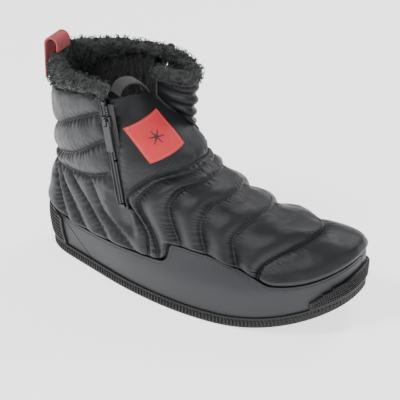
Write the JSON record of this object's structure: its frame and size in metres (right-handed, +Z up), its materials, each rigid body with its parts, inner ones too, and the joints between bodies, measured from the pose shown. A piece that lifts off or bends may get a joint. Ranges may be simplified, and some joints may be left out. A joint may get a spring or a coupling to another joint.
{
  "type": "boot",
  "caption": "Insulated pull-on ankle boot for the right foot, with a quilted upper, pile lining, rubber rand and sole, two side zips and a tongue that folds forward.",
  "frame": {"origin": "centre of the boot's bounding box at floor level, under the sole", "axes": "+X from heel to toe, +Y towards the medial side of the right foot, +Z up"},
  "size_m": [0.3034, 0.112, 0.205],
  "materials": {
    "outsole": "matte",
    "bumper": "matte",
    "rand": "satin",
    "midsole": "matte",
    "shell": "satin coated weave",
    "tongue_cloth": "satin coated weave",
    "pile": "curly pile",
    "stiffener": "matte",
    "board": "matte",
    "patch": "matte",
    "pull_tab": "woven",
    "loop_webbing": "woven",
    "zip_tape": "woven",
    "zip_teeth": "gloss",
    "zip_metal": "satin",
    "puller_dark": "matte",
    "puller_red": "matte",
    "label": "woven"
  },
  "bodies": {
    "boot": {"rand_lateral": "rand", "rand_medial": "rand", "rand_heel": "rand", "heel_bumper": "bumper", "toe_bumper": "bumper", "outsole": "outsole", "midsole": "midsole", "lasting_board": "board", "footbed": "pile", "quarter_lateral": "shell", "quarter_medial": "shell", "toe_panel": "shell", "vamp_panel": "shell", "instep_panel": "shell", "quarter_pile_lateral": "pile", "quarter_pile_medial": "pile", "toe_pile": "pile", "vamp_pile": "pile", "instep_pile": "pile", "heel_counter": "stiffener", "toe_puff": "stiffener", "cuff_rear": "pile", "heel_pull_tab": "pull_tab", "zip_tape_rear_lateral": "zip_tape", "zip_tape_front_lower_lateral": "zip_tape", "zip_teeth_rear_lateral": "zip_teeth", "zip_teeth_front_lower_lateral": "zip_teeth", "zip_top_stop_lateral": "zip_metal", "zip_bottom_stop_lateral": "zip_metal", "zip_tape_rear_medial": "zip_tape", "zip_tape_front_lower_medial": "zip_tape", "zip_teeth_rear_medial": "zip_teeth", "zip_teeth_front_lower_medial": "zip_teeth", "zip_top_stop_medial": "zip_metal", "zip_bottom_stop_medial": "zip_metal"},
    "front_flap": {"tongue_panel": "tongue_cloth", "tongue_pile": "pile", "gusset_medial": "tongue_cloth", "gusset_pile": "pile", "cuff_front": "pile", "tongue_patch": "patch", "tongue_pull_loop": "loop_webbing", "size_label": "label", "zip_tape_front_upper_lateral": "zip_tape", "zip_teeth_front_upper_lateral": "zip_teeth", "zip_tape_front_upper_medial": "zip_tape", "zip_teeth_front_upper_medial": "zip_teeth"},
    "slider_lateral": {"zip_slider_lateral": "zip_metal"},
    "puller_lateral": {"zip_puller_lateral": "puller_dark"},
    "slider_medial": {"zip_slider_medial": "zip_metal"},
    "puller_medial": {"zip_puller_medial": "puller_red"}
  },
  "joints": [
    {"name": "flap_fold", "type": "hinge", "parent": "boot", "child": "front_flap", "pos_m": [0.00522, 0.00347, 0.1263], "axis": [0, 1, 0], "range_deg": [0, 22], "deforming": ["zip_teeth_front_upper_lateral", "zip_teeth_front_upper_medial"]},
    {"name": "zip_slide_lateral", "type": "slide", "parent": "boot", "child": "slider_lateral", "axis": [0.1628, 0.001, -0.9867], "range_m": [0, 0.0582]},
    {"name": "puller_swing_lateral", "type": "hinge", "parent": "slider_lateral", "child": "puller_lateral", "pos_m": [-0.06112, -0.04935, 0.16259], "axis": [-0.9866, -0.0075, -0.1628], "range_deg": [0, 150]},
    {"name": "zip_slide_medial", "type": "slide", "parent": "boot", "child": "slider_medial", "axis": [0.1628, -0.0161, -0.9865], "range_m": [0, 0.0582]},
    {"name": "puller_swing_medial", "type": "hinge", "parent": "slider_medial", "child": "puller_medial", "pos_m": [-0.05338, 0.05019, 0.16266], "axis": [0.9607, -0.2251, 0.1622], "range_deg": [0, 150]}
  ],
  "couplings": [
    {"joint": "zip_slide_lateral", "follows": "flap_fold", "m_per_rad": 0.15105},
    {"joint": "zip_slide_medial", "follows": "flap_fold", "m_per_rad": 0.15105}
  ]
}
